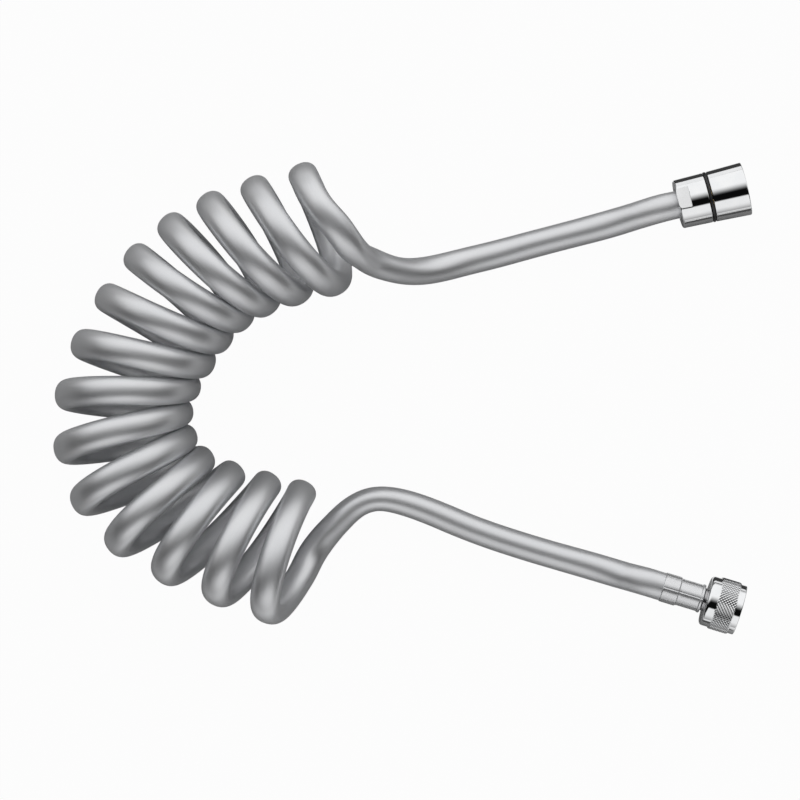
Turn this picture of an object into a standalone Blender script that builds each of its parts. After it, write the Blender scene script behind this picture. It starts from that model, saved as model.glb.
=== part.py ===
"""Spiral shower hose: a smooth hose wound into a C, with a union nut at each end.

The hose lies on the floor, z = 0, with +Z up. The origin is on the floor, midway
between the two end fittings, and +Y runs from the outlet end to the handset end.
"""

import math

import bmesh
import bpy
import numpy as np
from mathutils import Matrix, Vector

mm = 0.001

# Hose and coil
hose_diameter = 13.1 * mm
turn_radius = 27.5 * mm
clearance = 0.3 * mm
# A tightly bent hose is this share of its diameter flatter in the plane of its bend
bend_flattening = 0.1
coil_radius = turn_radius + hose_diameter * (1 - bend_flattening) / 2
coil_facets = 9
tail_facets = 3
tail_spacing = 2 * hose_diameter
straight_entry = 8.0 * mm

# Handset end: where the hose enters the collar, its heading and the collar
handset_place = (-13.1 * mm, 92.9 * mm)
handset_heading = math.radians(13.2)
collar_length = 14.7 * mm
collar_rear_diameter = 23.5 * mm
collar_front_diameter = 24.2 * mm
collar_chamfer = 1.2 * mm
collar_web = 4.7 * mm
# The hose ends this far before the collar's web
hose_stop = 1.0 * mm
hose_entry = collar_length - collar_web - hose_stop
# The wrench flats lean this far about the fitting's axis
flat_turn = math.radians(12.5)
flat_width = 21.2 * mm
flat_length = 6.0 * mm
crimp_wall = 0.9 * mm
slip_ring_width = 1.2 * mm
slip_ring_diameter = 24.5 * mm
slip_ring_round = 0.25 * mm
cone_nut_length = 17.2 * mm
cone_nut_rear_diameter = 24.4 * mm
cone_nut_mouth_diameter = 25.7 * mm
swivel_neck_diameter = 13.0 * mm

# Outlet end: where the hose meets the sleeve, its heading and the sleeve
outlet_place = (-20.3 * mm, -90.5 * mm)
outlet_heading = math.radians(-17.0)
sleeve_length = 20.0 * mm
sleeve_grip_length = 7.6 * mm
sleeve_grip_diameter = 14.3 * mm
sleeve_waist_diameter = 13.1 * mm
sleeve_step_length = 1.5 * mm
sleeve_bead_width = 1.3 * mm
sleeve_bead_diameter = 13.9 * mm
sleeve_bead_round = 0.4 * mm
stem_diameter = 8.0 * mm
barb_height = 0.5 * mm
barb_start = 1.2 * mm
barb_pitch = 2.6 * mm
barb_count = 5
outlet_neck_diameter = 11.0 * mm
neck_showing = 1.4 * mm
knurled_nut_length = 17.4 * mm
knurled_nut_diameter = 24.3 * mm
knurled_nut_shoulder = 1.8 * mm
knurl_diameter = 25.7 * mm
knurl_length = 9.5 * mm
knurl_rear_rim = 4.9 * mm
knurl_depth = 0.45 * mm
knurl_seat_depth = 1.2 * mm
knurl_diamonds = 50
knurl_rows = 12

# Both union nuts: half-inch pipe thread, with its flange and washer
thread_minor_diameter = 18.7 * mm
thread_major_diameter = 21.0 * mm
nut_web = 2.5 * mm
nut_relief = 2.6 * mm
nut_lead = 1.1 * mm
edge_round = 0.5 * mm
flange_clearance = 0.3 * mm  # the flange and the washer go in through the thread
flange_diameter = thread_minor_diameter - 2 * flange_clearance
flange_thickness = 1.6 * mm
waterway_diameter = 6.2 * mm
washer_thickness = 2.5 * mm
washer_bore = 10.5 * mm

# Steps round each turned piece, and points along the coil
nut_steps = 48
ring_steps = 40
nipple_steps = 32
washer_steps = 28
crimp_steps = 24
coil_points = 31

# The coil's centre line in plan, every second turn from the handset end
coil_centres = [
    (-169.3, 83.8),
    (-210.4, 73.3),
    (-242.7, 56.7),
    (-265.7, 26.8),
    (-278.1, -9.3),
    (-264.2, -45.0),
    (-225.9, -64.9),
    (-185.9, -77.3),
]

# The hose's route off the coil: across the top of the first turn and down to the collar
handset_route = [
    (-160.3, 65.0, 37.9),
    (-152.0, 62.0, 30.3),
    (-142.5, 60.5, 22.7),
    (-129.5, 61.9, 14.8),
    (-115.0, 65.5, 9.8),
    (-100.6, 69.1, 7.4),
    (-86.1, 73.0, 6.7),
    (-64.5, 78.7, 6.6),
    (-43.0, 84.5, 7.6),
    (-31.4, 88.0, 10.6),
]

# The route from under the last turn, along the floor to the sleeve
outlet_route = [
    (-176.0, -59.4, 6.6),
    (-165.6, -50.9, 6.6),
    (-158.4, -48.6, 6.6),
    (-151.1, -48.8, 6.6),
    (-143.9, -50.4, 6.6),
    (-129.4, -55.5, 6.6),
    (-115.0, -61.5, 6.6),
    (-93.4, -69.2, 6.6),
    (-71.7, -75.8, 6.6),
    (-50.0, -82.0, 7.2),
    (-37.6, -85.6, 9.8),
]


def clear_scene():
    for obj in list(bpy.data.objects):
        bpy.data.objects.remove(obj, do_unlink=True)


def new_collection(name):
    collection = bpy.data.collections.new(name)
    bpy.context.scene.collection.children.link(collection)
    return collection


def finish(name, colour, roughness, metallic):
    """A Principled material with one colour, roughness and metallic value."""
    material = bpy.data.materials.new(name)
    material.use_nodes = True
    shader = material.node_tree.nodes["Principled BSDF"]
    shader.inputs["Base Color"].default_value = (*colour, 1.0)
    shader.inputs["Roughness"].default_value = roughness
    shader.inputs["Metallic"].default_value = metallic
    return material


def natural_spline(knots, places):
    """A natural cubic through evenly numbered knots, read at fractional places."""
    knots = np.asarray(knots, float)
    count = len(knots)
    system = np.eye(count)
    right = np.zeros_like(knots)
    for i in range(1, count - 1):
        system[i, i - 1:i + 2] = (1, 4, 1)
        right[i] = 6 * (knots[i - 1] - 2 * knots[i] + knots[i + 1])
    bend = np.linalg.solve(system, right)
    places = np.asarray(places, float)
    left = np.clip(places.astype(int), 0, count - 2)
    f = (places - left)[:, None]
    g = 1 - f
    straight = g * knots[left] + f * knots[left + 1]
    return straight + ((g ** 3 - g) * bend[left] + (f ** 3 - f) * bend[left + 1]) / 6


def evenly_spaced(points, spacing):
    """The same line with its points a spacing apart, ends kept."""
    steps = np.linalg.norm(np.diff(points, axis=0), axis=1)
    along = np.concatenate([[0.0], np.cumsum(steps)])
    count = max(2, round(along[-1] / spacing) + 1)
    wanted = np.linspace(0, along[-1], count)
    return np.stack([np.interp(wanted, along, points[:, i]) for i in range(3)], axis=1)


def smooth_line(points, spacing):
    """One smooth curve through hand-chosen points, read at an even spacing."""
    readings = 20 * len(points)
    places = np.linspace(0, len(points) - 1, readings)
    return evenly_spaced(natural_spline(points, places), spacing)


def tube(name, points, radius, facets, collection, material):
    """A round solid along a line: a poly curve with a bevel and filled caps."""
    curve = bpy.data.curves.new(name, "CURVE")
    curve.dimensions = "3D"
    curve.resolution_u = 1
    curve.bevel_depth = radius
    curve.bevel_resolution = facets
    curve.use_fill_caps = True
    spline = curve.splines.new("POLY")
    spline.points.add(len(points) - 1)
    for point, place in zip(spline.points, points):
        point.co = (*place, 1.0)
    obj = bpy.data.objects.new(name, curve)
    obj.data.materials.append(material)
    collection.objects.link(obj)
    return obj


def turned(name, section, steps, collection, material, parent):
    """A ring or shell turned about its own Z axis from a closed section.

    The section lists (place along the axis, radius): first forwards along the
    inside, then back along the outside.
    """
    mesh = bpy.data.meshes.new(name)
    corners = [(radius, 0.0, along) for along, radius in section]
    edges = [(i, (i + 1) % len(corners)) for i in range(len(corners))]
    mesh.from_pydata(corners, edges, [])
    obj = bpy.data.objects.new(name, mesh)
    obj.data.materials.append(material)
    obj.parent = parent
    collection.objects.link(obj)
    screw = obj.modifiers.new("turn", "SCREW")
    screw.axis = "Z"
    screw.angle = math.tau
    screw.steps = steps
    screw.render_steps = steps
    screw.use_merge_vertices = True
    screw.merge_threshold = 0.00001
    screw.use_smooth_shade = True
    return obj


def moved(section, start):
    """A section shifted along its axis."""
    return [(along + start, radius) for along, radius in section]


def fitting_frame(name, place, heading, height, collection):
    """An empty on a fitting's axis, whose Z points out of the hose's end."""
    empty = bpy.data.objects.new(name, None)
    empty.empty_display_size = 0.01
    empty.location = (*place, height)
    empty.rotation_euler = (0, math.pi / 2, heading)
    collection.objects.link(empty)
    return empty


def union_nut_inside(length, opening_radius):
    """The inside of a union nut from rear to mouth: web, relief, thread bore and lead."""
    minor = thread_minor_diameter / 2
    major = thread_major_diameter / 2
    return [
        (0.0, opening_radius + edge_round),
        (edge_round, opening_radius),
        (nut_web, opening_radius),
        (nut_web, major),
        (nut_web + nut_relief, major),
        (nut_web + nut_relief + (major - minor), minor),
        (length - nut_lead, minor),
        (length, minor + nut_lead),
    ]


def washer_section(start):
    inner = washer_bore / 2
    outer = flange_diameter / 2
    end = start + washer_thickness
    return [(start, inner), (end, inner), (end, outer), (start, outer)]


def handset_end(collection, cutters, materials):
    height = cone_nut_mouth_diameter / 2
    frame = fitting_frame("handset_axis", handset_place, handset_heading, height, collection)
    neck = swivel_neck_diameter / 2
    sleeve_inner = hose_diameter / 2 + clearance
    sleeve_outer = sleeve_inner + crimp_wall
    collar_bore = sleeve_outer + clearance
    web_start = collar_length - collar_web
    rear = collar_rear_diameter / 2
    front = collar_front_diameter / 2

    collar = turned("handset_collar", [
        (0.0, collar_bore + edge_round),
        (edge_round, collar_bore),
        (web_start, collar_bore),
        (web_start, neck + clearance),
        (collar_length, neck + clearance),
        (collar_length, front - edge_round),
        (collar_length - edge_round, front),
        (flat_length, rear + (front - rear) * flat_length / collar_length),
        (collar_chamfer / 2, rear),
        (0.0, rear - collar_chamfer),
    ], nut_steps, collection, materials["chrome"], frame)
    for side in (-1, 1):
        cut_flat(collar, side, cutters)

    turned("handset_crimp_sleeve", [
        (clearance, sleeve_inner),
        (hose_entry, sleeve_inner),
        (hose_entry, sleeve_outer),
        (clearance, sleeve_outer),
    ], crimp_steps, collection, materials["steel"], frame)

    ring_start = collar_length + clearance
    ring_end = ring_start + slip_ring_width
    ring_edge = slip_ring_diameter / 2
    turned("handset_slip_ring", [
        (ring_start, neck + clearance),
        (ring_end, neck + clearance),
        (ring_end, ring_edge - slip_ring_round),
        (ring_end - slip_ring_round, ring_edge),
        (ring_start + slip_ring_round, ring_edge),
        (ring_start, ring_edge - slip_ring_round),
    ], ring_steps, collection, materials["black_plastic"], frame)

    nut_start = ring_end + clearance
    nut = moved(union_nut_inside(cone_nut_length, neck + clearance), nut_start)
    nut_rear = cone_nut_rear_diameter / 2
    nut_mouth = cone_nut_mouth_diameter / 2
    nut_end = nut_start + cone_nut_length
    turned("handset_cone_nut", nut + [
        (nut_end, nut_mouth - edge_round),
        (nut_end - edge_round, nut_mouth),
        (nut_start + edge_round, nut_rear),
        (nut_start, nut_rear - edge_round),
    ], nut_steps, collection, materials["chrome"], frame)

    flange_start = nut_start + nut_web + clearance
    flange_end = flange_start + flange_thickness
    flange = flange_diameter / 2
    bore = waterway_diameter / 2
    turned("handset_nipple", [
        (hose_entry + clearance, bore),
        (flange_end, bore),
        (flange_end, flange),
        (flange_start, flange),
        (flange_start, neck),
        (web_start + clearance, neck),
        (hose_entry + clearance, neck - hose_stop),
    ], nipple_steps, collection, materials["brass"], frame)

    turned("handset_washer", washer_section(flange_end + clearance),
           washer_steps, collection, materials["rubber"], frame)


def cut_flat(collar, side, cutters):
    """One wrench flat across the collar's hose end, leaning a little from level."""
    depth = collar_front_diameter - flat_width
    box = bpy.data.meshes.new("flat_cutter")
    shape = bmesh.new()
    bmesh.ops.create_cube(shape, size=1.0)
    size = Vector((depth, collar_rear_diameter, 2 * flat_length))
    place = Vector((side * (flat_width + depth) / 2, 0.0, 0.0))
    lean = Matrix.Rotation(-flat_turn, 4, "Z")
    matrix = lean @ Matrix.LocRotScale(place, None, size)
    bmesh.ops.transform(shape, matrix=matrix, verts=shape.verts)
    shape.to_mesh(box)
    shape.free()
    cutter = bpy.data.objects.new("flat_cutter", box)
    cutter.parent = collar
    cutter.hide_render = True
    cutter.display_type = "WIRE"
    cutters.objects.link(cutter)
    cut = collar.modifiers.new("flat", "BOOLEAN")
    cut.operation = "DIFFERENCE"
    cut.solver = "EXACT"
    cut.object = cutter


def knurled_band(name, start, cutters, frame):
    """A ring whose outside is rows of small pyramids, crossing like screw threads.

    Column i of row j stands out where i + j is even and lies in a groove where it is
    odd, and each square folds along the line that joins its two low corners.
    """
    columns = 2 * knurl_diamonds
    high = knurl_diameter / 2
    low = high - knurl_depth
    seat = knurled_nut_diameter / 2 - knurl_seat_depth
    shape = bmesh.new()
    rows = []
    for j in range(knurl_rows + 1):
        along = start + knurl_length * j / knurl_rows
        at_end = j in (0, knurl_rows)
        row = []
        for i in range(columns):
            radius = low if at_end or (i + j) % 2 else high
            angle = math.tau * i / columns
            row.append(shape.verts.new((radius * math.cos(angle), radius * math.sin(angle), along)))
        rows.append(row)
    for j in range(knurl_rows):
        for i in range(columns):
            a, b = rows[j][i], rows[j][(i + 1) % columns]
            c, d = rows[j + 1][(i + 1) % columns], rows[j + 1][i]
            if (i + j) % 2:
                shape.faces.new((a, b, c))
                shape.faces.new((a, c, d))
            else:
                shape.faces.new((a, b, d))
                shape.faces.new((b, c, d))
    inner = []
    for along in (start, start + knurl_length):
        ring = []
        for i in range(columns):
            angle = math.tau * i / columns
            ring.append(shape.verts.new((seat * math.cos(angle), seat * math.sin(angle), along)))
        inner.append(ring)
    for i in range(columns):
        k = (i + 1) % columns
        shape.faces.new((inner[0][i], inner[0][k], rows[0][k], rows[0][i]))
        shape.faces.new((rows[-1][i], rows[-1][k], inner[1][k], inner[1][i]))
        shape.faces.new((inner[1][i], inner[1][k], inner[0][k], inner[0][i]))
    bmesh.ops.recalc_face_normals(shape, faces=shape.faces)
    mesh = bpy.data.meshes.new(name)
    shape.to_mesh(mesh)
    shape.free()
    band = bpy.data.objects.new(name, mesh)
    band.parent = frame
    band.hide_render = True
    band.display_type = "WIRE"
    cutters.objects.link(band)
    return band


def outlet_end(collection, cutters, materials):
    height = knurl_diameter / 2
    frame = fitting_frame("outlet_axis", outlet_place, outlet_heading, height, collection)
    stem = stem_diameter / 2
    neck = outlet_neck_diameter / 2
    bore = waterway_diameter / 2
    stem_room = stem + barb_height + clearance
    grip = sleeve_grip_diameter / 2
    waist = sleeve_waist_diameter / 2
    bead = sleeve_bead_diameter / 2
    bead_start = sleeve_length - sleeve_bead_width
    waist_start = sleeve_grip_length + sleeve_step_length

    turned("outlet_sleeve", [
        (0.0, stem_room),
        (sleeve_length, stem_room),
        (sleeve_length, bead - sleeve_bead_round),
        (sleeve_length - sleeve_bead_round, bead),
        (bead_start + sleeve_bead_round / 2, bead),
        (bead_start, waist + sleeve_bead_round / 4),
        (bead_start - 3 * sleeve_bead_round, waist),
        (waist_start, waist),
        (sleeve_grip_length + 0.4 * sleeve_step_length, waist + 0.3 * (grip - waist)),
        (sleeve_grip_length, grip),
        (edge_round, grip),
        (0.0, grip - edge_round),
    ], nipple_steps, collection, materials["silver_plastic"], frame)

    nut_start = sleeve_length + neck_showing
    inside = moved(union_nut_inside(knurled_nut_length, neck + clearance), nut_start)
    nut_end = nut_start + knurled_nut_length
    rim = knurled_nut_diameter / 2
    nut = turned("outlet_knurled_nut", inside + [
        (nut_end, rim - edge_round),
        (nut_end - edge_round, rim),
        (nut_start + knurled_nut_shoulder, rim),
        (nut_start + 0.3 * knurled_nut_shoulder, rim - 0.3 * knurled_nut_shoulder),
        (nut_start, rim - knurled_nut_shoulder),
    ], nut_steps, collection, materials["chrome"], frame)
    band = knurled_band("knurl", nut_start + knurl_rear_rim, cutters, frame)
    join = nut.modifiers.new("knurl", "BOOLEAN")
    join.operation = "UNION"
    join.solver = "EXACT"
    join.object = band

    flange_start = nut_start + nut_web + clearance
    flange_end = flange_start + flange_thickness
    flange = flange_diameter / 2
    shoulder_start = sleeve_length + clearance
    barbs = []
    for i in reversed(range(barb_count)):
        foot = barb_start + i * barb_pitch
        barbs += [(foot + barb_pitch, stem), (foot + barb_pitch, stem + barb_height), (foot, stem)]
    turned("outlet_nipple", [
        (clearance, bore),
        (flange_end, bore),
        (flange_end, flange),
        (flange_start, flange),
        (flange_start, neck),
        (shoulder_start, neck),
        (shoulder_start, stem),
    ] + barbs + [
        (clearance, stem - barb_height),
    ], nipple_steps, collection, materials["nickel"], frame)

    turned("outlet_washer", washer_section(flange_end + clearance),
           washer_steps, collection, materials["rubber"], frame)


def hose(collection, materials):
    plastic = materials["silver_hose"]
    turns = np.linspace(0, len(coil_centres) - 1, coil_points)
    plan = natural_spline(coil_centres, turns) * mm
    # The bevel's lowest facet lies flat, so the solid stands on it
    height = coil_radius * math.cos(math.pi / (2 * coil_facets + 4))
    axis = np.column_stack([plan, np.full(len(plan), height)])
    tube("hose_coil", axis, coil_radius, coil_facets, collection, plastic)

    handset_line = tail_line(handset_route, handset_place, handset_heading,
                             cone_nut_mouth_diameter / 2, hose_entry)
    tube("hose_tail_handset", handset_line, hose_diameter / 2, tail_facets, collection, plastic)

    outlet_line = tail_line(outlet_route, outlet_place, outlet_heading,
                            knurl_diameter / 2, -clearance)
    tube("hose_tail_outlet", outlet_line, hose_diameter / 2, tail_facets, collection, plastic)


def tail_line(route, place, heading, height, end):
    """A tail's line: its smooth route, then straight into its fitting."""
    along = Vector((math.cos(heading), math.sin(heading), 0.0))
    fitting = Vector((*place, height))
    last = fitting - straight_entry * along
    points = [np.array(point) * mm for point in route]
    points.append(np.array(last))
    return np.vstack([smooth_line(points, tail_spacing), np.array(fitting + end * along)])


def main():
    clear_scene()
    collection = new_collection("shower_hose")
    cutters = new_collection("cutters")
    materials = {
        "silver_hose": finish("silver_hose", (0.46, 0.47, 0.49), 0.35, 0.3),
        "silver_plastic": finish("silver_plastic", (0.5, 0.51, 0.53), 0.4, 0.3),
        "chrome": finish("chrome", (0.86, 0.87, 0.88), 0.08, 1.0),
        "steel": finish("steel", (0.55, 0.55, 0.56), 0.3, 1.0),
        "brass": finish("brass", (0.72, 0.55, 0.25), 0.3, 1.0),
        "nickel": finish("nickel", (0.6, 0.59, 0.57), 0.25, 1.0),
        "black_plastic": finish("black_plastic", (0.02, 0.02, 0.022), 0.4, 0.0),
        "rubber": finish("rubber", (0.025, 0.025, 0.025), 0.7, 0.0),
    }
    hose(collection, materials)
    handset_end(collection, cutters, materials)
    outlet_end(collection, cutters, materials)


main()
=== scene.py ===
# Spiral shower hose, lying on a white table and seen from straight above.
# Lengths are millimetres here, and become metres where a mesh is made.
import math

import bpy
import numpy as np
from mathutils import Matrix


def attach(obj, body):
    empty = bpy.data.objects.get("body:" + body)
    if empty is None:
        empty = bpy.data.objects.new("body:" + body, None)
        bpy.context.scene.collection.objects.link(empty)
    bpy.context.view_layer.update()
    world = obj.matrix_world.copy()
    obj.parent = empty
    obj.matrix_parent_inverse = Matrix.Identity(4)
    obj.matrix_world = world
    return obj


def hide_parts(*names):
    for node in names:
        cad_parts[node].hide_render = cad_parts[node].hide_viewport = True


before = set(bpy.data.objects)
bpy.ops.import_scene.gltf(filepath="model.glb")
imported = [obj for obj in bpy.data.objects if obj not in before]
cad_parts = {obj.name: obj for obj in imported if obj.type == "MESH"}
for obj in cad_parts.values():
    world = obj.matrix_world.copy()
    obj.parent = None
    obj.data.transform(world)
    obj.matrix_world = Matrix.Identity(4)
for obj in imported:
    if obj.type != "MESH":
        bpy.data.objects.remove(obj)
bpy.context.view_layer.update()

mm = 0.001
print("packed model loaded, pieces:", len(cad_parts))

# The camera hangs over a point of the table, and +Y is up the picture
lookDown = {
    "over": (-146.3, -0.9),
    "height": 2200.0,
    "fittingHeight": 12.5,
    "widthAtFittings": 384.0,  # how wide the picture is at the fittings' height
    "sensor": 36.0,
}


def addCamera():
    data = bpy.data.cameras.new("camera")
    data.sensor_width = lookDown["sensor"]
    distance = lookDown["height"] - lookDown["fittingHeight"]
    data.lens = lookDown["sensor"] * distance / lookDown["widthAtFittings"]
    data.clip_end = 30.0
    camera = bpy.data.objects.new("camera", data)
    x, y = lookDown["over"]
    camera.location = (x * mm, y * mm, lookDown["height"] * mm)
    bpy.context.scene.collection.objects.link(camera)
    bpy.context.scene.camera = camera


addCamera()


# Shader maths: a Tone is one output socket of a tree. Sums, differences and products of
# tones and numbers add Math nodes, and node() adds any other kind.
class Tone:
    def __init__(self, tree, socket=None):
        self.tree = tree
        self.socket = socket

    def node(self, kind, settings=None, inputs=None, out=0):
        made = self.tree.nodes.new(kind)
        for name, value in (settings or {}).items():
            setattr(made, name, value)
        for name, value in (inputs or {}).items():
            if isinstance(value, Tone):
                self.tree.links.new(value.socket, made.inputs[name])
            else:
                made.inputs[name].default_value = value
        return Tone(self.tree, made.outputs[out] if made.outputs else None)

    # Another output of the node that this tone comes from
    def other(self, out):
        return Tone(self.tree, self.socket.node.outputs[out])

    def maths(self, operation, *values):
        return self.node("ShaderNodeMath", {"operation": operation}, dict(enumerate(values)))

    def __add__(self, other):
        return self.maths("ADD", self, other)

    def __sub__(self, other):
        return self.maths("SUBTRACT", self, other)

    def __rsub__(self, other):
        return self.maths("SUBTRACT", other, self)

    def __mul__(self, other):
        return self.maths("MULTIPLY", self, other)

    __radd__ = __add__
    __rmul__ = __mul__

    # 0 below low, 1 above high, and a soft rise between them
    def rise(self, low, high):
        return self.node("ShaderNodeMapRange", {"interpolation_type": "SMOOTHSTEP"},
                         {"Value": self, "From Min": low, "From Max": high})

    # From one colour to another as this tone goes from 0 to 1
    def tint(self, first, second):
        return self.node("ShaderNodeMix", {"data_type": "RGBA"},
                         {0: self, 6: (*first, 1.0), 7: (*second, 1.0)}, out=2)


# A material with an empty tree, and a Tone to start from
def emptyMaterial(name):
    material = bpy.data.materials.new(name)
    material.use_nodes = True
    material.node_tree.nodes.clear()
    return material, Tone(material.node_tree)


# A Principled finish: numbers are set on its sockets, and tones are linked to them
def finish(name, plain, varied):
    material, start = emptyMaterial(name)
    shader = start.node("ShaderNodeBsdfPrincipled", {}, {**plain, **varied(start)})
    start.node("ShaderNodeOutputMaterial", {}, {"Surface": shader})
    return material


noiseRange = (0.3, 0.7)  # what most of a noise lies between


# Soft lumps of a size in millimetres, on the piece's own coordinates
def speckle(start, size):
    where = start.node("ShaderNodeTexCoord", out=3)
    return start.node("ShaderNodeTexNoise", {},
                      {"Vector": where, "Scale": 1 / (size * mm), "Detail": 2.0, "Roughness": 0.6})


# Fine lines on the "grain" map, which holds metres along and metres round a piece:
# `along` and `across` are the length and the width of one line in millimetres
def lines(start, along, across):
    where = start.node("ShaderNodeUVMap", {"uv_map": "grain"})
    stretched = start.node("ShaderNodeMapping", {},
                           {"Vector": where, "Scale": (1 / (along * mm), 1 / (across * mm), 1.0)})
    return start.node("ShaderNodeTexNoise", {}, {"Vector": stretched, "Scale": 1.0, "Detail": 3.0})


def relief(start, height, depth):
    return start.node("ShaderNodeBump", {},
                      {"Height": height, "Strength": 1.0, "Distance": depth * mm})


hoseLook = {
    "darker": (0.715, 0.725, 0.745),
    "lighter": (0.8, 0.805, 0.815),
    "metallic": 0.85,
    "roughness": 0.43,
    "flake": 0.25,          # size of the silver flakes in the plastic,
    "cloud": 30.0,          # and of its paler and darker stretches
    "drawLine": (60, 0.5),  # length and width of the drawing marks
    "drawDepth": 0.006,
}


def hoseFinish():
    def varied(start):
        flakes = speckle(start, hoseLook["flake"])
        cloud = speckle(start, hoseLook["cloud"])
        marks = lines(start, *hoseLook["drawLine"])
        shade = (0.5 * flakes + 0.3 * cloud + 0.2 * marks).rise(*noiseRange)
        return {
            "Base Color": shade.tint(hoseLook["darker"], hoseLook["lighter"]),
            "Roughness": (hoseLook["roughness"] + 0.08 * (flakes - 0.5)
                          + 0.06 * (marks - 0.5)),
            "Normal": relief(start, marks, hoseLook["drawDepth"]),
        }
    return finish("silver_hose_look", {"Metallic": hoseLook["metallic"]}, varied)


sleeveLook = {
    "darker": (0.7, 0.705, 0.72),
    "lighter": (0.77, 0.775, 0.785),
    "metallic": 0.8,
    "roughness": 0.27,
    "grain": 0.35,
    "grainDepth": 0.004,
    "cloud": 5.0,
}


def sleeveFinish():
    def varied(start):
        grain = speckle(start, sleeveLook["grain"])
        shade = (0.6 * grain + 0.4 * speckle(start, sleeveLook["cloud"])).rise(*noiseRange)
        return {
            "Base Color": shade.tint(sleeveLook["darker"], sleeveLook["lighter"]),
            "Roughness": sleeveLook["roughness"] + 0.08 * (grain - 0.5),
            "Normal": relief(start, grain, sleeveLook["grainDepth"]),
        }
    return finish("silver_plastic_look", {"Metallic": sleeveLook["metallic"]}, varied)


polishSize = 6.0
turningMark = (0.12, 40.0)  # width along the piece, and length round it


# Bare or plated metal: turning marks run round the piece, and its polish is a little uneven
def metalFinish(name, darker, lighter, roughness, unevenness, markDepth):
    def varied(start):
        polish = speckle(start, polishSize)
        marks = lines(start, *turningMark)
        return {
            "Base Color": polish.rise(*noiseRange).tint(darker, lighter),
            "Roughness": (roughness + unevenness * (polish - 0.5)
                          + 0.5 * unevenness * (marks - 0.5)),
            "Normal": relief(start, marks, markDepth),
        }
    return finish(name, {"Metallic": 1.0}, varied)


# Each is (darker, lighter, roughness, unevenness, depth of the turning marks)
metalLooks = {
    "chrome": ((0.79, 0.8, 0.81), (0.83, 0.835, 0.84), 0.05, 0.02, 0.0002),
    "groundChrome": ((0.76, 0.765, 0.77), (0.82, 0.825, 0.83), 0.26, 0.08, 0.003),
    # this nickel is darker than real plating: painted shade for the neck, which sits in shadow
    # between the sleeve and the nut
    "nickel": ((0.38, 0.375, 0.39), (0.46, 0.455, 0.46), 0.22, 0.08, 0.002),
    "brass": ((0.68, 0.5, 0.22), (0.78, 0.6, 0.3), 0.24, 0.1, 0.003),
    "steel": ((0.5, 0.5, 0.51), (0.6, 0.6, 0.6), 0.3, 0.1, 0.004),
}


blackLook = {
    "plain": (0.012, 0.012, 0.014),
    "scuffed": (0.03, 0.03, 0.032),
    "scuff": 4.0,
    "scuffFrom": (0.45, 0.75),
}


# Black rubber or plastic: fine moulded grain, a little paler where it is scuffed
def blackFinish(name, roughness, grainSize, grainDepth):
    def varied(start):
        grain = speckle(start, grainSize)
        scuff = speckle(start, blackLook["scuff"]).rise(*blackLook["scuffFrom"])
        return {
            "Base Color": scuff.tint(blackLook["plain"], blackLook["scuffed"]),
            "Roughness": roughness + 0.12 * (grain - 0.5) + 0.08 * scuff,
            "Normal": relief(start, grain, grainDepth),
        }
    return finish(name, {}, varied)


looks = {name: metalFinish(name + "_look", *values) for name, values in metalLooks.items()}
looks["hose"] = hoseFinish()
looks["sleeve"] = sleeveFinish()
looks["ring"] = blackFinish("black_plastic_look", 0.32, 0.3, 0.004)
looks["rubber"] = blackFinish("rubber_look", 0.62, 0.5, 0.012)
print("finishes made:", len(looks))


sharpFrom = 32.0  # degrees between two faces from which the edge between them is sharp


# A grid of points (rows, columns, 3), in millimetres, as one closed skin. The columns join
# round. The rows join too when looped is set, and otherwise each end row gets one flat face.
# rowPlace and columnPlace tell where each row and column lies on the map, and hold one value
# more where they join round.
# split tells which squares fold from their second corner to their fourth.
def skin(name, grid, rowPlace, columnPlace, material, looped=True, split=None):
    rows, columns = grid.shape[:2]
    i = np.arange(rows if looped else rows - 1)[:, None]
    j = np.arange(columns)[None, :]
    i, j = np.broadcast_arrays(i, j)
    cornerRow = np.stack([i, i, i + 1, i + 1], axis=-1).reshape(-1, 4)
    cornerColumn = np.stack([j, j + 1, j + 1, j], axis=-1).reshape(-1, 4)
    if split is not None:
        fold = split.reshape(-1)[:, None, None]
        picks = np.where(fold, [[0, 1, 3], [1, 2, 3]], [[0, 1, 2], [0, 2, 3]])
        square = np.arange(len(cornerRow))[:, None, None]
        cornerRow = cornerRow[square, picks].reshape(-1, 3)
        cornerColumn = cornerColumn[square, picks].reshape(-1, 3)
    faces = (cornerRow % rows) * columns + cornerColumn % columns
    points = grid.reshape(-1, 3) * mm
    a, b, c = (points[faces[:, k]] for k in (0, 1, -1))
    insideOut = np.einsum("ij,ij->i", a, np.cross(b - a, c - a)).sum() < 0
    if insideOut:
        faces = faces[:, ::-1]
        cornerRow = cornerRow[:, ::-1]
        cornerColumn = cornerColumn[:, ::-1]
    faceList = faces.tolist()
    if not looped:
        first = np.arange(columns)
        last = first + (rows - 1) * columns
        faceList.append((first if insideOut else first[::-1]).tolist())
        faceList.append((last[::-1] if insideOut else last).tolist())
    mesh = bpy.data.meshes.new(name)
    mesh.from_pydata(points, [], faceList)
    mesh.materials.append(material)
    places = np.column_stack([np.asarray(rowPlace)[cornerRow.ravel()],
                              np.asarray(columnPlace)[cornerColumn.ravel()]]) * mm
    grain = mesh.uv_layers.new(name="grain")
    allPlaces = np.zeros((len(mesh.loops), 2))
    allPlaces[:len(places)] = places
    grain.data.foreach_set("uv", allPlaces.ravel())
    mesh.shade_smooth()
    mesh.set_sharp_from_angle(angle=math.radians(sharpFrom))
    piece = bpy.data.objects.new(name, mesh)
    bpy.context.scene.collection.objects.link(piece)
    return piece


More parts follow.
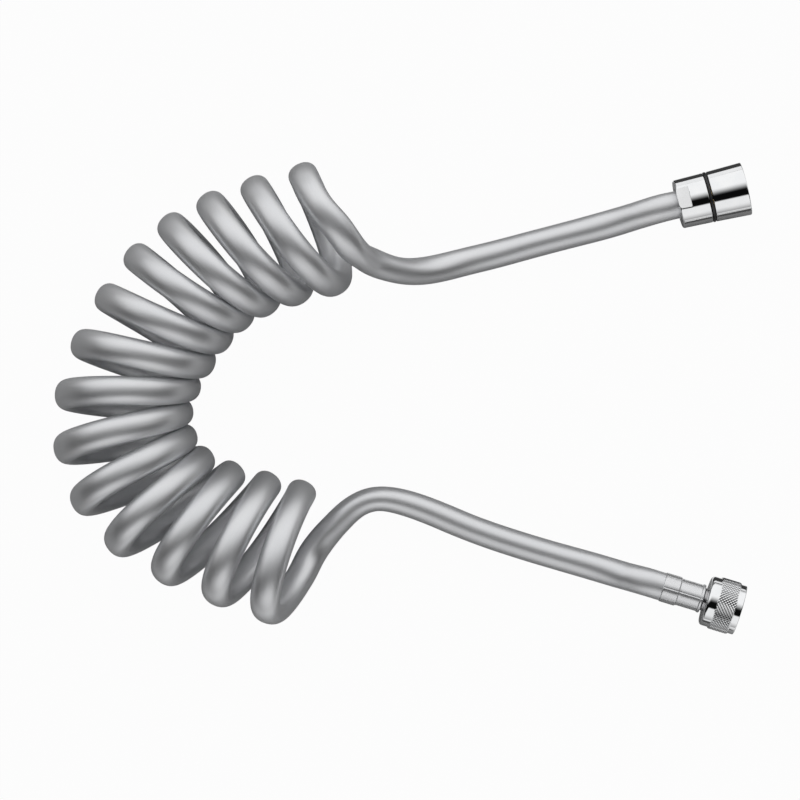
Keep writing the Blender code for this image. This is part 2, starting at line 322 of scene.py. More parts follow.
# A natural cubic: it goes through every knot with no break in slope or bend, and has
# no bend at its two ends. `at` holds where each knot lies, and `places` where it is read.
def naturalCurve(at, knots, places):
    at = np.asarray(at, float)
    knots = np.asarray(knots, float).reshape(len(at), -1)
    gaps = np.diff(at)
    inner = np.arange(1, len(at) - 1)
    system = np.eye(len(at))
    system[inner, inner - 1] = gaps[:-1]
    system[inner, inner] = 2 * (gaps[:-1] + gaps[1:])
    system[inner, inner + 1] = gaps[1:]
    right = np.zeros_like(knots)
    right[1:-1] = 6 * np.diff(np.diff(knots, axis=0) / gaps[:, None], axis=0)
    bend = np.linalg.solve(system, right)
    left = np.clip(np.searchsorted(at, places, side="right") - 1, 0, len(at) - 2)
    step = gaps[left][:, None]
    f = (places - at[left])[:, None] / step
    g = 1 - f
    straight = g * knots[left] + f * knots[left + 1]
    return straight + ((g ** 3 - g) * bend[left] + (f ** 3 - f) * bend[left + 1]) * step ** 2 / 6


def runLength(points):
    steps = np.linalg.norm(np.diff(points, axis=0), axis=1)
    return np.concatenate([[0.0], np.cumsum(steps)])


# Each fitting's axis: its place at the fitting's rear, and its heading in degrees from +X
handsetEnd = {"place": (-13.1, 92.9, 12.85), "heading": 13.2}
outletEnd = {"place": (-20.3, -90.5, 12.85), "heading": -17.0}


up = np.array([0.0, 0.0, 1.0])


# A fitting's place, its direction out of the hose, and the direction to the left of that
def axisOf(end):
    heading = math.radians(end["heading"])
    out = np.array([math.cos(heading), math.sin(heading), 0.0])
    return np.array(end["place"]), out, np.cross(up, out)


hose = {
    "diameter": 13.1,
    "length": 2754.0,
    "turnRadius": 27.5,     # of a turn's centre line
    "flattening": 0.10,     # how much thinner a tight bend is in its own plane
    "widening": 0.085,      # and how much wider across it
    "squareness": 0.18,     # 0 keeps a bent hose's section an ellipse
    "around": 40,
    "ringSpacing": 1.6,
    "pointsPerTurn": 32,
    "finePoints": 20000,
    "turns": (-0.06, 13.15),  # where the coil starts and ends; at a whole turn it is half way down
    "straightEntry": 8.0,     # how far from a fitting the hose keeps to its axis
    "insideCollar": 9.0,
    "beforeSleeve": 0.3,
    "touchGap": 0.05,         # between two turns that touch
    "spreads": {"bend": 4, "width": 3, "lift": 8},  # in rings, of the bells that smooth these
    # the coil's centre line in plan, at every second turn from half a turn before turn 0
    "coilCentres": [(-169.3, 83.8), (-210.4, 73.3), (-242.7, 56.7), (-265.7, 26.8),
                    (-278.1, -9.3), (-264.2, -45.0), (-225.9, -64.9), (-185.9, -77.3)],
    # which way the turns face, in degrees, and how far their tops lean, at five even places
    "facing": (114.2, 134.8, 170.8, 218.9, 254.0),
    "lean": [(-3.23, -2.52), (-0.53, -5.91), (-1.03, -1.38), (-6.45, -4.43), (-5.9, -8.95)],
    # from the collar back to the coil's start, over the top of the first turn
    "handsetRoute": [
        (-31.4, 88.0, 10.6), (-43.0, 84.5, 7.6), (-64.5, 78.7, 6.6), (-86.1, 73.0, 6.7),
        (-100.6, 69.1, 7.4), (-115.0, 65.5, 9.8), (-129.5, 61.9, 14.8), (-142.5, 60.5, 22.7),
        (-152.0, 62.0, 30.3), (-160.3, 65.0, 37.9), (-169.9, 72.1, 51.6), (-176.0, 80.5, 56.4),
        (-183.4, 89.0, 56.4),
    ],
    # from under the last turn to the sleeve
    "outletRoute": [
        (-189.2, -76.0, 7.5), (-183.9, -68.3, 6.4), (-176.0, -59.4, 6.6), (-165.6, -50.9, 6.6),
        (-158.4, -48.6, 6.6), (-151.1, -48.8, 6.6), (-143.9, -50.4, 6.6), (-129.4, -55.5, 6.6),
        (-115.0, -61.5, 6.6), (-93.4, -69.2, 6.6), (-71.7, -75.8, 6.6), (-50.0, -82.0, 7.2),
        (-37.6, -85.6, 9.8),
    ],
}


# The coil: a point goes round in a circle that stands on the table, facing the given way,
# while the circle's centre travels along the coil's centre line, one turn for each turn
def coilPoints(turn):
    centres = hose["coilCentres"]
    spread = np.linspace(-0.5, 2 * len(centres) - 2.5, len(hose["facing"]))
    centre = naturalCurve(np.arange(len(centres)) * 2 - 0.5, centres, turn)
    facing = np.radians(naturalCurve(spread, hose["facing"], turn))
    lean = naturalCurve(spread, hose["lean"], turn)
    outward = np.cos(math.tau * turn)[:, None] * hose["turnRadius"]
    upward = -np.sin(math.tau * turn)[:, None]
    plan = centre + outward * np.hstack([np.cos(facing), np.sin(facing)]) + lean * upward
    lowest = hose["diameter"] / 2 * (1 - hose["flattening"])
    return np.hstack([plan, lowest + hose["turnRadius"] * (1 + upward)])


# The whole centre line, from inside the collar to the sleeve, as evenly spaced points
def hoseLine():
    first, out, _ = axisOf(handsetEnd)
    last, away, _ = axisOf(outletEnd)
    entry = hose["straightEntry"]
    low, high = hose["turns"]
    turn = np.linspace(low, high, round((high - low) * hose["pointsPerTurn"]) + 1)
    knots = np.vstack([
        first + hose["insideCollar"] * out, first, first - entry * out,
        hose["handsetRoute"], coilPoints(turn), hose["outletRoute"],
        last - entry * away, last - hose["beforeSleeve"] * away,
    ])
    at = runLength(knots)
    fine = naturalCurve(at, knots, np.linspace(0, at[-1], hose["finePoints"]))
    along = runLength(fine)
    wanted = np.linspace(0, along[-1], round(along[-1] / hose["ringSpacing"]) + 1)
    return np.column_stack([np.interp(wanted, along, fine[:, k]) for k in range(3)]), wanted


# Each value becomes a mean of its neighbours, weighted by a bell: e ** (-distance squared / 2),
# with the distance in spreads
def smoothed(values, spread):
    reach = np.arange(-3 * spread, 3 * spread + 1)
    weights = np.exp(-0.5 * (reach / spread) ** 2)
    padded = np.pad(values, [(3 * spread, 3 * spread)] + [(0, 0)] * (values.ndim - 1), mode="edge")
    columns = padded.reshape(len(padded), -1)
    mixed = [np.convolve(column, weights / weights.sum(), mode="valid") for column in columns.T]
    return np.column_stack(mixed).reshape(values.shape)


# Two directions square to the line, carried from ring to ring without any twist
def carriedDirections(forward):
    side = np.zeros_like(forward)
    side[0] = np.cross(up, forward[0])
    for k in range(1, len(forward)):
        side[k] = side[k - 1] - forward[k] * (side[k - 1] @ forward[k])
        side[k] /= np.linalg.norm(side[k])
    return side, np.cross(forward, side)


# The hose: a ring is carried along the line. Where the line bends, the ring becomes a squarish
# oval: |x / thin| ** power + |y / wide| ** power = 1, with x in the plane of the bend. Turns that
# touch share the room between them, and what would reach under the table is lifted on to it.
def makeHose():
    line, along = hoseLine()
    radius = hose["diameter"] / 2
    forward = np.gradient(line, along, axis=0)
    forward /= np.linalg.norm(forward, axis=1)[:, None]
    spreads = hose["spreads"]
    bend = smoothed(np.gradient(forward, along, axis=0), spreads["bend"])
    side, rise = carriedDirections(forward)
    tightness = np.clip(np.linalg.norm(bend, axis=1) * hose["turnRadius"], 0, 1)[:, None]
    bendAngle = np.arctan2((bend * rise).sum(axis=1), (bend * side).sum(axis=1))[:, None]

    apart = np.linalg.norm(line[:, None] - line[None], axis=2)
    apart[np.abs(along[:, None] - along[None]) < 4 * hose["diameter"]] = np.inf
    room = apart.min(axis=1)[:, None] / 2 - hose["touchGap"]
    widened = radius * (1 + hose["widening"] * tightness)
    wide = smoothed(np.minimum(widened, room), spreads["width"])
    thin = radius * (1 - hose["flattening"] * tightness)
    power = 2 + hose["squareness"] * tightness

    angle = np.arange(hose["around"]) / hose["around"] * math.tau
    x = np.abs(np.cos(angle - bendAngle)) / thin
    y = np.abs(np.sin(angle - bendAngle)) / wide
    reach = (x ** power + y ** power) ** (-1 / power)
    ring = ((reach * np.cos(angle))[..., None] * side[:, None]
            + (reach * np.sin(angle))[..., None] * rise[:, None])
    sunk = np.maximum(0.0, -(line[:, 2] + ring[..., 2].min(axis=1)))
    line[:, 2] += np.maximum(sunk, smoothed(sunk, spreads["lift"]))
    grid = line[:, None] + ring

    aroundPlace = np.linspace(0, math.pi * hose["diameter"], hose["around"] + 1)
    piece = skin("hose", grid, along, aroundPlace, looks["hose"], looped=False)
    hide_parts("hose_coil", "hose_tail_handset", "hose_tail_outlet")
    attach(piece, "hose")
    print("hose made:", round(along[-1]), "mm long,", len(line), "rings")


makeHose()

outlineStep = {
    "arc": 14.0,      # degrees of a round corner for each point, at most
    "longRun": 0.5,   # from this length on, a run has a point close to each of its corners,
    "beside": 0.06,   # this far from it, which keeps the flat stretch flat
}


# A closed outline of straight runs with round corners. Each corner is (along, radius, round,
# spacing), where the spacing is of the points on the run that follows it.
def roundedOutline(corners):
    spots = np.array([corner[:2] for corner in corners], float)
    starts = []
    ends = []
    arcs = []
    for k, corner in enumerate(corners):
        back = spots[k - 1] - spots[k]
        ahead = spots[(k + 1) % len(spots)] - spots[k]
        back /= np.linalg.norm(back)
        ahead /= np.linalg.norm(ahead)
        half = math.acos(np.clip(back @ ahead, -1, 1)) / 2
        cut = corner[2] / math.tan(half)
        inward = (back + ahead) / np.linalg.norm(back + ahead)
        centre = spots[k] + inward * corner[2] / math.sin(half)
        first = spots[k] + cut * back - centre
        last = spots[k] + cut * ahead - centre
        turn = math.pi - 2 * half
        count = 2 + int(turn / math.radians(outlineStep["arc"])) if corner[2] > 0 else 1
        f = np.linspace(0, 1, count)[:, None]
        arc = (np.sin((1 - f) * turn) * first + np.sin(f * turn) * last) / math.sin(turn)
        arcs.append(centre + arc)
        starts.append(spots[k] + cut * back)
        ends.append(spots[k] + cut * ahead)
    outline = []
    for k, corner in enumerate(corners):
        run = starts[(k + 1) % len(starts)] - ends[k]
        length = np.linalg.norm(run)
        count = max(1, round(length / corner[3]))
        inside = np.arange(1, count) / count
        if length > outlineStep["longRun"]:
            hold = outlineStep["beside"] / length
            inside = np.concatenate([[hold], inside, [1 - hold]])
        outline.append(arcs[k])
        outline.append(ends[k] + inside[:, None] * run)
    return np.vstack(outline)


# A turned piece: its outline goes round the fitting's axis. `carve` changes the radius of each
# point from its place along the axis, its radius and its angle, where angle 0 is straight up.
def turnedPiece(name, end, start, corners, columns, material, carve=None, split=None):
    outline = roundedOutline(corners)
    angle = np.arange(columns) / columns * math.tau
    along = np.repeat(outline[:, :1], columns, axis=1)
    radius = np.repeat(outline[:, 1:], columns, axis=1)
    angle = np.repeat(angle[None], len(outline), axis=0)
    if carve:
        radius = carve(along, radius, angle)
    origin, out, left = axisOf(end)
    grid = (origin + (start + along)[..., None] * out
            + (radius * np.cos(angle))[..., None] * up
            + (radius * np.sin(angle))[..., None] * left)
    closed = np.vstack([outline, outline[:1]])
    aroundPlace = np.linspace(0, math.tau * outline[:, 1].max(), columns + 1)
    folds = split(outline, columns) if split else None
    return skin(name, grid, runLength(closed), aroundPlace, material, split=folds)


def dress(piece, node, body):
    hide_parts(node)
    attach(piece, body)
    print(node, "made:", len(piece.data.polygons), "faces")


# Both union nuts, from the rear: web, relief, thread and lead
unionNut = {
    "web": 2.5,
    "relief": 2.6,
    "lead": 1.1,
    "minor": 9.35,
    "major": 10.5,
    "pitch": 1.814,
    "threadRow": 0.23,
}


def nutInside(length, opening):
    web = unionNut["web"]
    ramp = web + unionNut["relief"]
    minor = unionNut["minor"]
    major = unionNut["major"]
    return [
        (0.0, opening, 0.4, 0.6),
        (web, opening, 0.15, 0.8),
        (web, major, 0.3, 0.5),
        (ramp, major, 0.2, 0.4),
        (ramp + major - minor, minor, 0.1, unionNut["threadRow"]),
        (length - unionNut["lead"], minor, 0.1, unionNut["threadRow"]),
        (length, minor + unionNut["lead"], 0.12, 0.4),
    ]


# The female pipe thread: a round wave on the radius, one pitch for each turn. It only
# cuts outwards, so the relief and the lead swallow its two ends.
def cutThread(along, radius, angle):
    phase = along / unionNut["pitch"] - angle / math.tau
    wave = 0.5 - 0.5 * np.cos(math.tau * phase)
    groove = unionNut["minor"] + (unionNut["major"] - unionNut["minor"]) * wave
    bore = (radius < unionNut["major"] + 0.01) & (along > unionNut["web"] + unionNut["relief"])
    return np.where(bore, np.maximum(radius, groove), radius)


collar = {
    "length": 14.7,
    "bore": 8.05,
    "web": 4.7,
    "neck": 6.8,
    "rear": 11.75,
    "front": 12.1,
    "chamfer": 1.0,
    "flatAcross": 21.2,      # the two wrench flats
    "flatLength": 6.0,
    "flatTurn": 12.5,        # how far they lean towards +Y, in degrees
    "shoulder": (0.3, 4.0),  # how long the flats' shoulder is, and how far it rises
    "wall": 1.5,             # the flats leave the bore alone, and this much round it
    "planeWithin": 0.02,     # how close to its plane a face of a flat lies
    "columns": 288,
}


# The wrench flats: the radius stops at a plane beside the axis, up to a steep shoulder. Over
# a flat, the rings of the rear face move in evenly, so that no two of them meet.
def cutFlats(along, radius, angle):
    facing = np.abs(np.cos(angle - math.radians(collar["flatTurn"])))
    shoulderLength, shoulderRise = collar["shoulder"]
    shoulder = np.clip((along - collar["flatLength"]) / shoulderLength, 0, 1) * shoulderRise
    plane = collar["flatAcross"] / 2 / np.maximum(facing, 0.05) + shoulder
    outside = radius > collar["bore"] + collar["wall"]
    stopped = np.where(outside, np.minimum(radius, plane), radius)
    faceWidth = collar["rear"] - collar["chamfer"] - collar["bore"]
    share = np.minimum(1, (plane - collar["bore"]) / faceWidth)
    return np.where(along < 1e-6, collar["bore"] + (radius - collar["bore"]) * share, stopped)


def makeCollar():
    length = collar["length"]
    webStart = length - collar["web"]
    middle = (collar["rear"] + collar["front"]) / 2
    piece = turnedPiece("collar", handsetEnd, 0.0, [
        (0.0, collar["bore"], 0.4, 0.8),
        (webStart, collar["bore"], 0.3, 0.6),
        (webStart, collar["neck"], 0.15, 0.8),
        (length, collar["neck"], 0.15, 0.8),
        (length, collar["front"], 0.35, 0.35),
        (collar["flatLength"] + 1, middle, 0.0, 0.12),
        (collar["flatLength"] - 0.5, middle - 0.03, 0.0, 0.4),
        (0.0, collar["rear"], collar["chamfer"], 0.5),
    ], collar["columns"], looks["chrome"], carve=cutFlats)
    mesh = piece.data
    mesh.materials.append(looks["groundChrome"])
    centres = np.empty(len(mesh.polygons) * 3)
    mesh.polygons.foreach_get("center", centres)
    origin, out, left = axisOf(handsetEnd)
    local = centres.reshape(-1, 3) / mm - origin
    lean = math.radians(collar["flatTurn"])
    across = np.abs(local @ (math.cos(lean) * up + math.sin(lean) * left))
    onPlane = np.abs(across - collar["flatAcross"] / 2) < collar["planeWithin"]
    onFlat = onPlane & (local @ out < collar["flatLength"])
    mesh.polygons.foreach_set("material_index", onFlat.astype(np.int32))
    dress(piece, "handset_collar", "hose")


makeCollar()

crimp = {
    "inner": 6.85,
    "wall": 0.9,
    "start": 0.3,
    "length": 8.7,
    "grooves": 3,
    "depth": 0.18,
    "columns": 96,
}


# Shallow crimped grooves round the sleeve's outside, where the cube narrows the wave
def cutCrimps(along, radius, angle):
    wave = 0.5 - 0.5 * np.cos(math.tau * along / crimp["length"] * crimp["grooves"])
    outside = radius > crimp["inner"] + crimp["wall"] / 2
    return np.where(outside, radius - crimp["depth"] * wave ** 3, radius)


def makeCrimpSleeve():
    outer = crimp["inner"] + crimp["wall"]
    piece = turnedPiece("crimpSleeve", handsetEnd, crimp["start"], [
        (0.0, crimp["inner"], 0.2, 0.8),
        (crimp["length"], crimp["inner"], 0.2, 0.5),
        (crimp["length"], outer, 0.2, 0.2),
        (0.0, outer, 0.2, 0.5),
    ], crimp["columns"], looks["steel"], carve=cutCrimps)
    dress(piece, "handset_crimp_sleeve", "hose")


makeCrimpSleeve()

slipRing = {"start": 15.0, "width": 1.2, "bore": 6.8, "edge": 12.25, "round": 0.3, "columns": 160}


def makeSlipRing():
    piece = turnedPiece("slipRing", handsetEnd, slipRing["start"], [
        (0.0, slipRing["bore"], 0.1, 0.6),
        (slipRing["width"], slipRing["bore"], 0.1, 0.8),
        (slipRing["width"], slipRing["edge"], slipRing["round"], 0.3),
        (0.0, slipRing["edge"], slipRing["round"], 0.8),
    ], slipRing["columns"], looks["ring"])
    dress(piece, "handset_slip_ring", "hose")


makeSlipRing()

coneNut = {
    "start": 16.5,
    "length": 17.2,
    "opening": 6.8,
    "rear": 12.2,
    "mouth": 12.85,
    "columns": 224,
}


def makeConeNut():
    length = coneNut["length"]
    inside = nutInside(length, coneNut["opening"])
    piece = turnedPiece("coneNut", handsetEnd, coneNut["start"], inside + [
        (length, coneNut["mouth"], 0.45, 0.6),
        (0.0, coneNut["rear"], 0.4, 0.6),
    ], coneNut["columns"], looks["chrome"], carve=cutThread)
    dress(piece, "handset_cone_nut", "cone_nut")


makeConeNut()

knurledNut = {
    "start": 21.4,
    "length": 17.4,
    "opening": 5.8,
    "rim": 12.15,
    "shoulder": 1.8,
    "rearRim": 4.9,
    "knurl": 9.5,
    "knurlTop": 12.85,
    "knurlDepth": 0.24,
    "diamonds": 50,      # round the nut
    "diamondRows": 6,    # along it
    "samples": 8,        # columns and rows of the mesh for each diamond
    "runOut": 0.5,       # how long the pattern takes to rise at its two ends
    "nudge": 1e-6,       # so that rounding can't put a groove's bottom on both of its sides
    # the dark colour down in the grooves is painted shade, with some dirt
    "grooveShadeColour": (0.1, 0.1, 0.105),
    "grooveShadeFrom": (0.72, 0.96),  # where the grooves turn dark with painted shade and some dirt, as shares of the depth
    "grooveRoughness": 0.3,
}


# Where the knurl starts and ends along the nut, and the radius at its grooves' bottoms
def knurlReach():
    near = knurledNut["rearRim"]
    return near, near + knurledNut["knurl"], knurledNut["knurlTop"] - knurledNut["knurlDepth"]


# 0 at the knurl's two ends and beyond them, and 1 where it has its full height
def fullKnurl(along):
    near, far, _ = knurlReach()
    return np.clip(np.minimum(along - near, far - along) / knurledNut["runOut"], 0, 1)


# The diamond knurl: two sets of V grooves wind round the nut in opposite ways, and each
# point's height is the lower of the two, which leaves rows of low pyramids
def cutKnurl(along, radius, angle):
    radius = cutThread(along, radius, angle)
    near, far, low = knurlReach()
    roundPhase = angle / math.tau * knurledNut["diamonds"]
    alongPhase = (along - near) / knurledNut["knurl"] * knurledNut["diamondRows"]
    rightHand = 1 - np.abs(2 * ((roundPhase + alongPhase + knurledNut["nudge"]) % 1) - 1)
    leftHand = 1 - np.abs(2 * ((roundPhase - alongPhase + knurledNut["nudge"]) % 1) - 1)
    height = np.minimum(rightHand, leftHand)
    band = (radius > low - 0.05) & (along > near - 0.01) & (along < far + 0.01)
    return np.where(band, low + knurledNut["knurlDepth"] * height * fullKnurl(along), radius)


# Squares fold along the grooves and ridges, which cross the mesh's rows and columns at an
# even slope: in each quarter of a diamond the slope is the other way
def foldWithKnurl(outline, columns):
    samples = knurledNut["samples"]
    share = (outline[:, 0] - knurledNut["rearRim"]) / knurledNut["knurl"]
    row = np.round(share * knurledNut["diamondRows"] * samples).astype(int)
    row = np.minimum(row, np.roll(row, -1))[:, None]
    quarter = samples // 2
    return (row // quarter + np.arange(columns)[None] // quarter) % 2 == 0


# Chrome that is dull down in the grooves, and darkened there by painted shade with some dirt, by
# the "groove" attribute: 1 at the bottom
def knurledFinish():
    darker, lighter, rough = metalLooks["chrome"][:3]

    def varied(start):
        groove = start.node("ShaderNodeAttribute", {"attribute_name": "groove"}, out=2)
        plating = speckle(start, polishSize).rise(*noiseRange).tint(darker, lighter)
        # painted shade in the grooves, with some dirt: the deeper, the darker
        dark = groove.rise(*knurledNut["grooveShadeFrom"])
        colour = start.node("ShaderNodeMix", {"data_type": "RGBA"},
                            {0: dark, 6: plating, 7: (*knurledNut["grooveShadeColour"], 1.0)}, out=2)
        return {
            "Base Color": colour,
            "Roughness": rough + (knurledNut["grooveRoughness"] - rough) * groove,
        }
    return finish("knurled_chrome_look", {"Metallic": 1.0}, varied)


def markGrooves(mesh):
    points = np.empty(len(mesh.vertices) * 3)
    mesh.vertices.foreach_get("co", points)
    origin, out, _ = axisOf(outletEnd)
    local = points.reshape(-1, 3) / mm - origin
    along = local @ out
    radius = np.linalg.norm(local - along[:, None] * out, axis=1)
    depth = np.clip((knurledNut["knurlTop"] - radius) / knurledNut["knurlDepth"], 0, 1)
    low = knurlReach()[2]
    groove = np.where(radius > low - 0.01, depth * fullKnurl(along - knurledNut["start"]), 0.0)
    mesh.attributes.new("groove", "FLOAT", "POINT").data.foreach_set("value", groove)


def makeKnurledNut():
    length = knurledNut["length"]
    near, far, low = knurlReach()
    rowWidth = knurledNut["knurl"] / knurledNut["diamondRows"] / knurledNut["samples"]
    columns = knurledNut["diamonds"] * knurledNut["samples"]
    inside = nutInside(length, knurledNut["opening"])
    piece = turnedPiece("knurledNut", outletEnd, knurledNut["start"], inside + [
        (length, knurledNut["rim"], 0.45, 0.6),
        (far, knurledNut["rim"], 0.0, 0.2),
        (far, low, 0.0, rowWidth),
        (near, low, 0.0, 0.2),
        (near, knurledNut["rim"], 0.0, 0.5),
        (0.0, knurledNut["rim"], knurledNut["shoulder"], 0.6),
    ], columns, knurledFinish(), carve=cutKnurl, split=foldWithKnurl)
    markGrooves(piece.data)
    dress(piece, "outlet_knurled_nut", "knurled_nut")


makeKnurledNut()

# What both nipples have: a waterway, and a flange in front that carries the nut
nipple = {"bore": 3.1, "flange": 9.05, "flangeThickness": 1.6, "columns": 96}

handsetNipple = {"back": 9.3, "front": 20.9, "neck": 6.5, "chamfer": 1.0}


# The waterway and the flange's front and edge, which both nipples start with
def flangeOutline(back, front):
    return [
        (back, nipple["bore"], 0.2, 0.8),
        (front, nipple["bore"], 0.3, 0.6),
        (front, nipple["flange"], 0.2, 0.5),
        (front - nipple["flangeThickness"], nipple["flange"], 0.2, 0.6),
    ]


def makeHandsetNipple():
    back = handsetNipple["back"]
    front = handsetNipple["front"]
    neck = handsetNipple["neck"]
    chamfer = handsetNipple["chamfer"]
    piece = turnedPiece("handsetNipple", handsetEnd, 0.0, flangeOutline(back, front) + [
        (front - nipple["flangeThickness"], neck, 0.2, 0.6),
        (back + chamfer, neck, 0.2, 0.5),
        (back, neck - chamfer, 0.2, 0.6),
    ], nipple["columns"], looks["brass"])
    dress(piece, "handset_nipple", "hose")


makeHandsetNipple()

outletNipple = {
    "back": 0.3,
    "front": 25.8,
    "shoulder": 20.3,  # just in front of the sleeve
    "neck": 5.5,
    "stem": 4.0,
    "barb": 0.5,
    "barbStart": 1.2,
    "barbPitch": 2.6,
    "barbs": 5,
}


def makeOutletNipple():
    back = outletNipple["back"]
    front = outletNipple["front"]
    shoulder = outletNipple["shoulder"]
    neck = outletNipple["neck"]
    stem = outletNipple["stem"]
    barb = outletNipple["barb"]
    barbs = []
    for k in reversed(range(outletNipple["barbs"])):
        foot = outletNipple["barbStart"] + k * outletNipple["barbPitch"]
        top = foot + outletNipple["barbPitch"]
        barbs += [(top, stem, 0.05, 0.5), (top, stem + barb, 0.08, 0.6)]
    piece = turnedPiece("outletNipple", outletEnd, 0.0, flangeOutline(back, front) + [
        (front - nipple["flangeThickness"], neck, 0.3, 0.5),
        (shoulder, neck, 0.2, 0.5),
        (shoulder, stem, 0.2, 0.5),
    ] + barbs + [
        (outletNipple["barbStart"], stem, 0.05, 0.4),
        (back, stem - barb, 0.1, 0.4),
    ], nipple["columns"], looks["nickel"])
    dress(piece, "outlet_nipple", "hose")


makeOutletNipple()

sleeve = {
    "length": 20.0,
    "bore": 4.8,
    "grip": 7.15,
    "gripLength": 7.6,
    "step": 1.5,
    "waist": 6.55,
    "bead": 6.95,
    "beadWidth": 1.3,
    "wall": 0.6,  # the seam leaves the bore alone, and this much round it
    "seamWidth": 0.24,
    "seamDepth": 0.12,
    "columns": 240,
}


# The mould's parting line: a fine V groove along the top and along the bottom
def cutSeam(along, radius, angle):
    sideways = np.abs(np.sin(angle)) * radius
    groove = np.clip(1 - sideways / sleeve["seamWidth"], 0, 1) * sleeve["seamDepth"]
    return np.where(radius > sleeve["bore"] + sleeve["wall"], radius - groove, radius)


def makeSleeve():
    length = sleeve["length"]
    beadStart = length - sleeve["beadWidth"]
    waistStart = sleeve["gripLength"] + sleeve["step"]
    piece = turnedPiece("outletSleeve", outletEnd, 0.0, [
        (0.0, sleeve["bore"], 0.2, 0.8),
        (length, sleeve["bore"], 0.2, 0.6),
        (length, sleeve["bead"], 0.45, 0.2),
        (beadStart, sleeve["bead"], 0.35, 0.2),
        (beadStart - 0.15, sleeve["waist"], 0.25, 0.4),
        (waistStart, sleeve["waist"], 1.2, 0.3),
        (sleeve["gripLength"] + 0.5, sleeve["waist"] + 0.12, 0.15, 0.2),
        (sleeve["gripLength"], sleeve["grip"], 0.3, 0.4),
        (0.0, sleeve["grip"], 0.4, 0.5),
    ], sleeve["columns"], looks["sleeve"], carve=cutSeam)
    dress(piece, "outlet_sleeve", "hose")


makeSleeve()

washer = {
    "thickness": 2.5,
    "bore": 5.25,
    "edge": 9.05,
    "round": 0.3,
    "spacing": 0.6,
    "columns": 96,
    "handsetStart": 21.2,
    "outletStart": 26.1,
}


def makeWasher(name, end, start, node, body):
    corners = [(0.0, "bore"), (washer["thickness"], "bore"),
               (washer["thickness"], "edge"), (0.0, "edge")]
    piece = turnedPiece(name, end, start, [
        (along, washer[side], washer["round"], washer["spacing"]) for along, side in corners
    ], washer["columns"], looks["rubber"])
    dress(piece, node, body)


makeWasher("handsetWasher", handsetEnd, washer["handsetStart"], "handset_washer", "cone_nut")
makeWasher("outletWasher", outletEnd, washer["outletStart"], "outlet_washer", "knurled_nut")

table = {
    "size": 6.0,
    "colour": 0.4,
    "shownWhite": 0.97,
    "mirroredWhite": 0.75,
    # metal sees the table white from this far off the camera's point on, in metres,
    "mirroredFrom": (0.185, 0.27),
    "mirroredRight": (-0.38, -0.29),  # and to the right of this
}


def levelPlane(name, corners, height, material):
    mesh = bpy.data.meshes.new(name)
    mesh.from_pydata([(x * mm, y * mm, height * mm) for x, y in corners], [], [(0, 1, 2, 3)])
    mesh.materials.append(material)
    plane = bpy.data.objects.new(name, mesh)
    bpy.context.scene.collection.objects.link(plane)
    return plane


white = (1.0, 1.0, 1.0, 1.0)


def glowFinish(name, strength):
    material, start = emptyMaterial(name)
    glow = start.node("ShaderNodeEmission", {}, {"Color": white, "Strength": strength})
    start.node("ShaderNodeOutputMaterial", {}, {"Surface": glow})
    return material


# A pale table. For the camera it is nearly plain white, and it keeps a soft shadow. Metal
# sees it white too, but for the part under the object.
def makeTable():
    half = table["size"] / 2 / mm
    x, y = lookDown["over"]
    corners = [(x + half * a, y + half * b) for a, b in ((-1, -1), (1, -1), (1, 1), (-1, 1))]
    material, start = emptyMaterial("table_look")
    paper = start.node("ShaderNodeBsdfDiffuse", {}, {"Color": (*(table["colour"],) * 3, 1.0)})
    glow = start.node("ShaderNodeEmission", {}, {"Color": white, "Strength": 1.0})
    seen = start.node("ShaderNodeLightPath", out=0)
    inMirror = seen.other("Is Glossy Ray") + seen.other("Is Transmission Ray")
    where = start.node("ShaderNodeTexCoord", out=3)
    centred = start.node("ShaderNodeMapping", {},
                         {"Vector": where, "Location": (-x * mm, -y * mm, 0.0)})
    away = start.node("ShaderNodeVectorMath", {"operation": "LENGTH"}, {0: centred}, out=1)
    across = start.node("ShaderNodeSeparateXYZ", {}, {0: where})
    mirrored = away.rise(*table["mirroredFrom"]) * across.rise(*table["mirroredRight"])
    share = table["shownWhite"] * seen + table["mirroredWhite"] * mirrored * inMirror
    shown = start.node("ShaderNodeMixShader", {}, {0: share, 1: paper, 2: glow})
    start.node("ShaderNodeOutputMaterial", {}, {"Surface": shown})
    levelPlane("table", corners, 0.0, material)


makeTable()

# Black and white glowing cards on the table beside the two fittings, which only reflections
# show. The black ones are painted shadow of each fitting on the table, seen as the dark lines
# along the metal's edges, and the white ones a painted reflection of the pale table. Each is
# (fitting, nearer edge, farther edge, glow), in millimetres to the left of the fitting's axis.
cards = {
    "height": 0.2,
    "along": (-4.0, 42.0),
    "laid": [
        (handsetEnd, 12.5, 18.0, 0.8), (handsetEnd, 18.0, 50.0, 0.05),
        (handsetEnd, 50.0, 2800.0, 0.98), (handsetEnd, -49.0, -115.0, 0.08),
        (handsetEnd, -115.0, -150.0, 0.85),
        (outletEnd, 12.5, 18.0, 0.8), (outletEnd, 18.0, 50.0, 0.05),
        (outletEnd, 50.0, 95.0, 0.98), (outletEnd, -49.0, -115.0, 0.08),
        (outletEnd, -115.0, -400.0, 0.85),
    ],
}


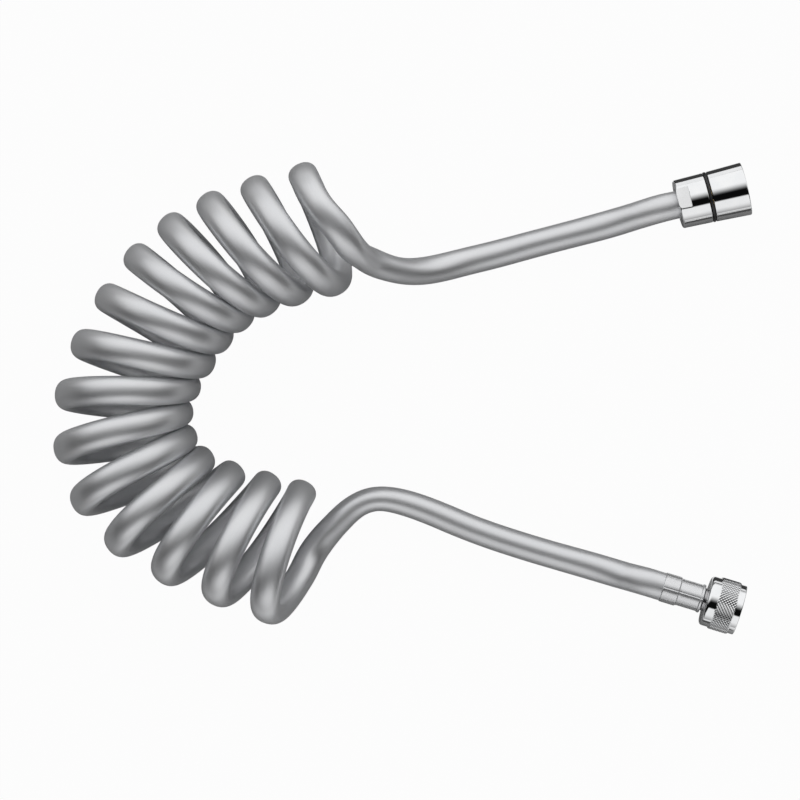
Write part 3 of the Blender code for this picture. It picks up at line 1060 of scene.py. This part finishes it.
def layCards():
    for k, (end, near, far, glow) in enumerate(cards["laid"]):
        origin, out, left = axisOf(end)
        first, last = cards["along"]
        spots = [(first, near), (last, near), (last, far), (first, far)]
        corners = [tuple((origin + s * out + aside * left)[:2]) for s, aside in spots]
        # a glowing card that only reflections see: painted shadow where it is dark, painted
        # reflection of the table where it is pale
        look = glowFinish("painted_reflection_card_look" + str(k + 1), glow)
        card = levelPlane("card" + str(k + 1), corners, cards["height"], look)
        card.visible_camera = False
        card.visible_diffuse = False
        card.visible_shadow = False


layCards()

# Two long soft lights, the far one on the +Y side and the near one on the -Y side, with a
# dark slot between them over the object. Angles are degrees from straight up, and each pair
# is where an edge starts and ends.
studio = {
    "level": 1.08,
    "dark": 0.004,
    "farEdge": (-3.0, 31.0),
    "nearEdge": (25.5, 32.0),
    "nearSpread": 22.0,       # how much further out the near edge lies towards both sides
    "spreadFrom": (0.2, 0.65),
    "farSide": (0.75, 0.98),  # where the lights end at both sides, with 1 as level with the table
    "nearSide": (0.4, 0.85),
    "nearLevel": 0.9,
    "nearFade": (58.0, 100.0),
    "nearLoss": 0.7,          # the near light is this much weaker at the table's edge
}


def lightStudio():
    world = bpy.data.worlds.new("studio")
    world.use_nodes = True
    bpy.context.scene.world = world
    world.node_tree.nodes.clear()
    start = Tone(world.node_tree)
    where = start.node("ShaderNodeTexCoord", out=0)
    across = start.node("ShaderNodeSeparateXYZ", {}, {0: where})
    tilt = start.maths("ARCTAN2", across.other("Y"), across.other("Z")) * (180 / math.pi)
    aside = start.maths("ABSOLUTE", across)
    nearTilt = -1 * tilt
    spread = aside.rise(*studio["spreadFrom"])
    fade = studio["nearLevel"] * (1 - studio["nearLoss"] * nearTilt.rise(*studio["nearFade"]))
    far = tilt.rise(*studio["farEdge"]) * (1 - aside.rise(*studio["farSide"]))
    near = (nearTilt - studio["nearSpread"] * spread).rise(*studio["nearEdge"]) * fade
    near = near * (1 - aside.rise(*studio["nearSide"]))
    light = studio["dark"] + studio["level"] * (far + near)
    camera = start.node("ShaderNodeLightPath", out=0)
    strength = camera + (1 - camera) * light
    shown = start.node("ShaderNodeBackground", {}, {"Color": white, "Strength": strength})
    start.node("ShaderNodeOutputWorld", {}, {"Surface": shown})


lightStudio()
bpy.context.scene.view_settings.view_transform = "Standard"
